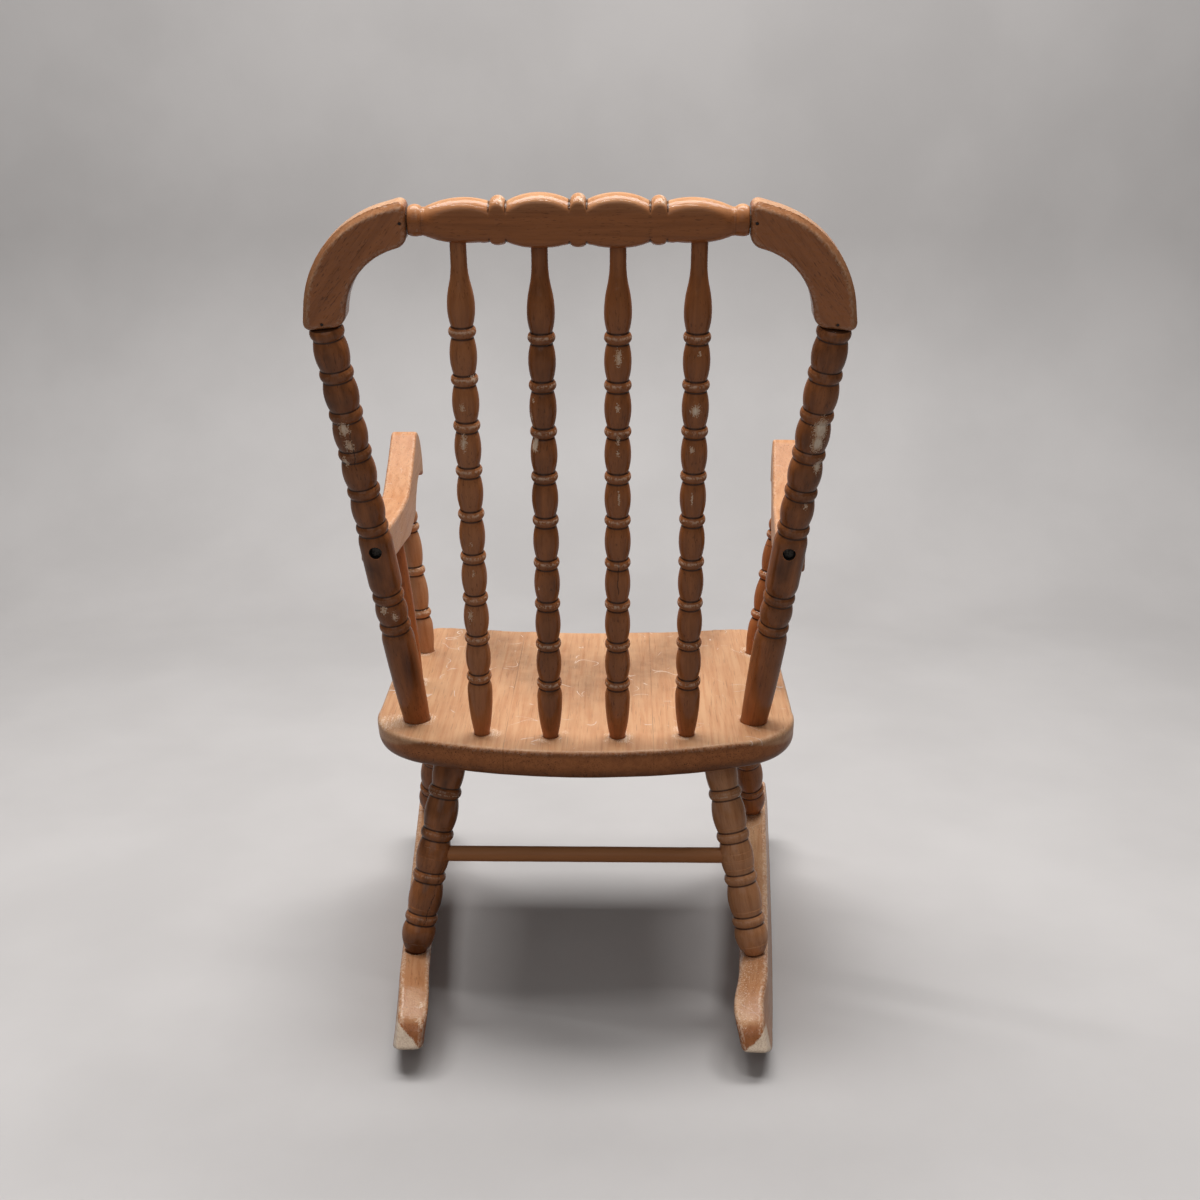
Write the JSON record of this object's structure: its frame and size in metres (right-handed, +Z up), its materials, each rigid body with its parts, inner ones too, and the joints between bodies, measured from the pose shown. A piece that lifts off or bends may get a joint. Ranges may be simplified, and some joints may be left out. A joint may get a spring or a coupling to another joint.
{
  "type": "spindle-back rocking chair",
  "caption": "Child's wooden rocking chair with a raked back of bead-turned spindles, sawn arms, a shaped seat and curved rockers.",
  "frame": {"origin": "on the floor under the middle of the chair's bounding box, at rest on its rockers", "axes": "+Z up, the chair faces -Y, +X is the sitter's left"},
  "size_m": [0.4016, 0.4647, 0.7041],
  "materials": {
    "seat_wood": "worn clear varnish over golden brown board",
    "sawn_wood": "brown stain under worn gloss varnish",
    "turned_wood": "brown stain under worn gloss varnish",
    "rocker_wood": "brown stain, worn pale at the tails",
    "dowel_wood": "orange brown varnish",
    "bare_dowel": "bare hardwood",
    "steel": "dull steel"
  },
  "bodies": {
    "root": {"arm_screws": "steel", "back_spindle_1": "turned_wood", "back_spindle_2": "turned_wood", "back_spindle_3": "turned_wood", "back_spindle_4": "turned_wood", "crest_rail": "sawn_wood", "ear_dowels": "bare_dowel", "ear_pins": "steel", "front_left_leg": "turned_wood", "front_right_leg": "turned_wood", "left_arm": "sawn_wood", "left_arm_spindle": "turned_wood", "left_back_post": "turned_wood", "left_crest_ear": "sawn_wood", "left_front_arm_support": "turned_wood", "left_rocker": "rocker_wood", "rear_left_leg": "turned_wood", "rear_right_leg": "turned_wood", "rear_stretcher": "dowel_wood", "right_arm": "sawn_wood", "right_arm_spindle": "turned_wood", "right_back_post": "turned_wood", "right_crest_ear": "sawn_wood", "right_front_arm_support": "turned_wood", "right_rocker": "rocker_wood", "seat": "seat_wood"}
  },
  "joints": []
}
